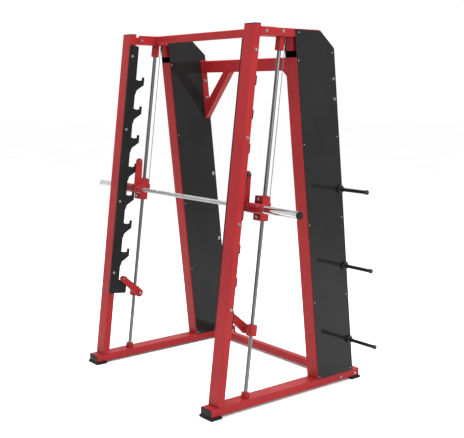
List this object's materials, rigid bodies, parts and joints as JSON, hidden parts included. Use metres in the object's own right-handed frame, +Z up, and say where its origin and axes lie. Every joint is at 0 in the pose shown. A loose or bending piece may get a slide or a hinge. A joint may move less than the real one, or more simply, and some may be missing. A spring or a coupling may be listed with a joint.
{
  "type": "smith machine",
  "caption": "Counterbalanced smith machine: red tube frame leaning seven degrees, black notched hook plates, guided bar with turning hooks, enclosed weight columns and plate pegs.",
  "frame": {"origin": "on the floor under the middle of the machine's footprint", "axes": "+Z up, +X to the machine's right seen from behind the bar's user side, +Y from the bar towards the weight columns"},
  "size_m": [2.196, 1.292, 2.342],
  "materials": {
    "cable_steel": "stranded wire",
    "cast_iron": "painted",
    "chrome": "polished",
    "fastener_steel": "zinc plated",
    "panel_black": "high gloss",
    "plastic_black": "matt",
    "plate_black": "satin",
    "pulley_nylon": "satin",
    "red_paint": "semi-gloss powder coat",
    "roller_black": "satin"
  },
  "bodies": {
    "frame": {"base_crossmember": "red_paint", "base_rail_left": "red_paint", "base_rail_right": "red_paint", "cable_housings": "red_paint", "column_caps": "panel_black", "foot_pads": "plastic_black", "frame_bolts": "fastener_steel", "front_cables": "cable_steel", "front_post_left": "red_paint", "front_post_right": "red_paint", "guide_rod_left": "chrome", "guide_rod_right": "chrome", "hook_plate_bolts": "fastener_steel", "hook_plate_left": "plate_black", "hook_plate_right": "plate_black", "inner_panel_left": "panel_black", "inner_panel_right": "panel_black", "knee_braces": "red_paint", "outer_panel_left": "panel_black", "outer_panel_right": "panel_black", "panel_screws": "fastener_steel", "peg_nuts": "fastener_steel", "pulley_axles": "fastener_steel", "rear_cables": "cable_steel", "rear_crossmember": "red_paint", "rear_end_plates": "red_paint", "rear_post_left": "red_paint", "rear_post_right": "red_paint", "rod_mounts": "red_paint", "storage_pegs": "plate_black", "top_cables": "cable_steel", "top_crossmember": "red_paint", "top_rail_left": "red_paint", "top_rail_right": "red_paint", "tube_end_caps": "plastic_black", "upright_left": "red_paint", "upright_right": "red_paint", "weight_rods": "chrome"},
    "carriages": {"carriages": "red_paint", "carriage_plates": "red_paint", "linear_bearings": "fastener_steel", "bar_bearings": "fastener_steel", "carriage_bolts": "fastener_steel"},
    "bar": {"bar": "chrome", "bar_hubs": "red_paint", "bar_sleeves": "chrome", "bar_end_caps": "plastic_black", "hook_arms": "red_paint", "hook_pins": "roller_black"},
    "counterweights": {"counterweights": "cast_iron"},
    "front_pulley_left": {"front_pulley_left": "pulley_nylon"},
    "rear_pulley_left": {"rear_pulley_left": "pulley_nylon"},
    "safety_collar_left": {"safety_collar_left": "red_paint"},
    "safety_arm_left": {"safety_arm_left": "red_paint", "safety_pin_left": "roller_black"},
    "front_pulley_right": {"front_pulley_right": "pulley_nylon"},
    "rear_pulley_right": {"rear_pulley_right": "pulley_nylon"},
    "safety_collar_right": {"safety_collar_right": "red_paint"},
    "safety_arm_right": {"safety_arm_right": "red_paint", "safety_pin_right": "roller_black"}
  },
  "joints": [
    {"name": "bar_slide", "type": "slide", "parent": "frame", "child": "carriages", "axis": [0, 0.1219, 0.9925], "range_m": [-0.626, 0.8], "deforming": ["front_cables"]},
    {"name": "bar_turn", "type": "hinge", "parent": "carriages", "child": "bar", "pos_m": [0, -0.28329, 1.24984], "axis": [-1, 0, 0], "range_deg": [-16.4, 25]},
    {"name": "weight_slide", "type": "slide", "parent": "frame", "child": "counterweights", "axis": [0, -0.108, 0.9942], "range_m": [-0.82, 0.66], "deforming": ["rear_cables"]},
    {"name": "front_pulley_left_turn", "type": "hinge", "parent": "frame", "child": "front_pulley_left", "pos_m": [-0.675, 0.00132, 2.296], "axis": [1, 0, 0], "range_deg": [-2600, 2100]},
    {"name": "rear_pulley_left_turn", "type": "hinge", "parent": "frame", "child": "rear_pulley_left", "pos_m": [-0.675, 0.15243, 2.296], "axis": [1, 0, 0], "range_deg": [-2600, 2100]},
    {"name": "safety_slide_left", "type": "slide", "parent": "frame", "child": "safety_collar_left", "axis": [0, 0.1219, 0.9925], "range_m": [0, 0.08]},
    {"name": "safety_turn_left", "type": "hinge", "parent": "safety_collar_left", "child": "safety_arm_left", "pos_m": [-0.609, -0.28306, 0.48209], "axis": [-1, 0, 0], "range_deg": [0, 50]},
    {"name": "front_pulley_right_turn", "type": "hinge", "parent": "frame", "child": "front_pulley_right", "pos_m": [0.675, 0.00132, 2.296], "axis": [1, 0, 0], "range_deg": [-2600, 2100]},
    {"name": "rear_pulley_right_turn", "type": "hinge", "parent": "frame", "child": "rear_pulley_right", "pos_m": [0.675, 0.15243, 2.296], "axis": [1, 0, 0], "range_deg": [-2600, 2100]},
    {"name": "safety_slide_right", "type": "slide", "parent": "frame", "child": "safety_collar_right", "axis": [0, 0.1219, 0.9925], "range_m": [0, 0.08]},
    {"name": "safety_turn_right", "type": "hinge", "parent": "safety_collar_right", "child": "safety_arm_right", "pos_m": [0.609, -0.28306, 0.48209], "axis": [-1, 0, 0], "range_deg": [0, 50]}
  ],
  "couplings": [
    {"joint": "weight_slide", "follows": "bar_slide", "ratio": -1},
    {"joint": "front_pulley_left_turn", "follows": "bar_slide", "rad_per_m": -54.054},
    {"joint": "rear_pulley_left_turn", "follows": "bar_slide", "rad_per_m": -54.054},
    {"joint": "front_pulley_right_turn", "follows": "bar_slide", "rad_per_m": -54.054},
    {"joint": "rear_pulley_right_turn", "follows": "bar_slide", "rad_per_m": -54.054}
  ]
}
